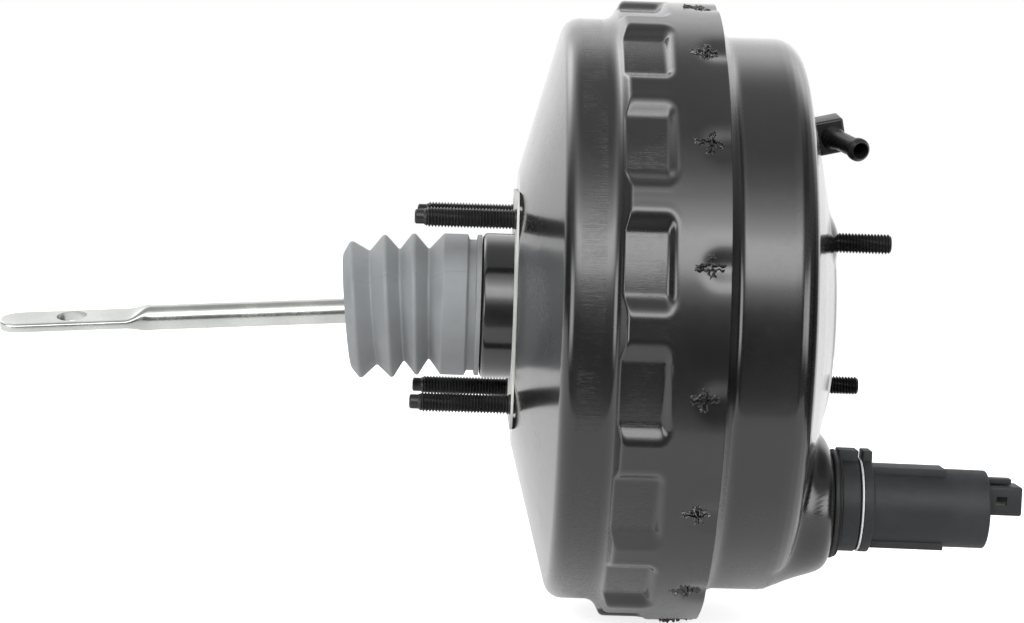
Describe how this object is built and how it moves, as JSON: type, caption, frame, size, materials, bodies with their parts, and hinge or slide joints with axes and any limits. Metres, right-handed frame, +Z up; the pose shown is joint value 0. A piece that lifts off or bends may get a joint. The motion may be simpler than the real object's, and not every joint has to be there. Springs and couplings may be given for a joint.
{
  "type": "brake booster",
  "caption": "Vacuum brake booster: two steel shells, push rod under a rubber bellows, hose elbow and travel sensor; piston, valve plunger, push rod and sensor probe move.",
  "frame": {"origin": "centre of the rear mounting face, on the axis of the shells and at the centre of the four rear studs", "axes": "+X along the axis towards the master cylinder, +Z up as in the picture, +Y away from the camera"},
  "size_m": [0.4065, 0.2464, 0.2464],
  "materials": {
    "black_paint": "gloss black electrophoretic paint on steel",
    "black_zinc": "satin black plated steel",
    "zinc": "bright zinc plated steel",
    "spring_steel": "drawn spring wire",
    "grey_rubber": "matt grey rubber",
    "black_rubber": "matt black rubber",
    "gasket_foam": "pale sealing gasket",
    "sensor_plastic": "matt dark glass-filled plastic",
    "black_plastic": "satin black moulded plastic",
    "valve_plastic": "dark brown moulded phenolic",
    "white_wire": "white coated wire",
    "brass_contact": "tinned brass blade",
    "filter_felt": "air filter felt",
    "silencer_felt": "dark silencer felt"
  },
  "bodies": {
    "housing": {"rear_shell": "black_paint", "front_shell": "black_paint", "mounting_gasket": "gasket_foam", "rear_stud_plate": "black_paint", "rear_studs": "black_zinc", "front_stud_plate": "black_paint", "front_studs": "black_zinc", "neck_seal": "black_rubber", "neck_bush": "black_plastic", "neck_retainer": "spring_steel", "diaphragm": "black_rubber", "return_spring": "spring_steel", "front_seal": "black_rubber", "vacuum_grommet": "black_rubber", "vacuum_elbow": "black_plastic", "sensor_grommet": "black_rubber", "sensor_adapter_ring": "sensor_plastic", "sensor_wire_ring": "white_wire", "sensor_housing": "sensor_plastic", "sensor_terminals": "brass_contact", "probe_spring": "spring_steel"},
    "piston": {"valve_body": "valve_plastic", "diaphragm_plate": "zinc", "plate_retainer": "spring_steel", "plunger_key": "zinc", "reaction_disc": "black_rubber", "output_rod": "zinc", "output_rod_retainer": "zinc", "output_rod_tip": "zinc", "poppet_valve": "black_rubber", "poppet_retainer": "zinc", "rod_return_spring": "spring_steel", "poppet_spring": "spring_steel", "air_filter": "filter_felt", "silencer": "silencer_felt", "filter_retainer": "zinc"},
    "plunger": {"valve_plunger": "zinc"},
    "input_rod": {"input_rod": "zinc", "rod_washer": "zinc", "boot": "grey_rubber"},
    "sensor_probe": {"sensor_probe": "zinc"}
  },
  "joints": [
    {"name": "piston_slide", "type": "slide", "parent": "housing", "child": "piston", "axis": [1, 0, 0], "range_m": [0, 0.03], "stiffness_N_per_m": 2500, "springref_m": -0.02, "deforming": ["diaphragm", "return_spring", "boot", "probe_spring"]},
    {"name": "plunger_slide", "type": "slide", "parent": "piston", "child": "plunger", "axis": [1, 0, 0], "range_m": [0, 0.0015], "stiffness_N_per_m": 2000, "springref_m": -0.005, "deforming": ["rod_return_spring", "poppet_spring", "boot"]},
    {"name": "rod_hinge", "type": "hinge", "parent": "plunger", "child": "input_rod", "pos_m": [-0.01, 0, 0], "axis": [0, 1, 0], "range_deg": [0, 7.8], "deforming": ["boot", "rod_return_spring", "poppet_spring"]},
    {"name": "probe_slide", "type": "slide", "parent": "housing", "child": "sensor_probe", "axis": [0.9994, -0.0123, -0.0327], "range_m": [0, 0.03], "deforming": ["probe_spring"]}
  ],
  "couplings": [
    {"joint": "probe_slide", "follows": "piston_slide", "ratio": 1}
  ]
}
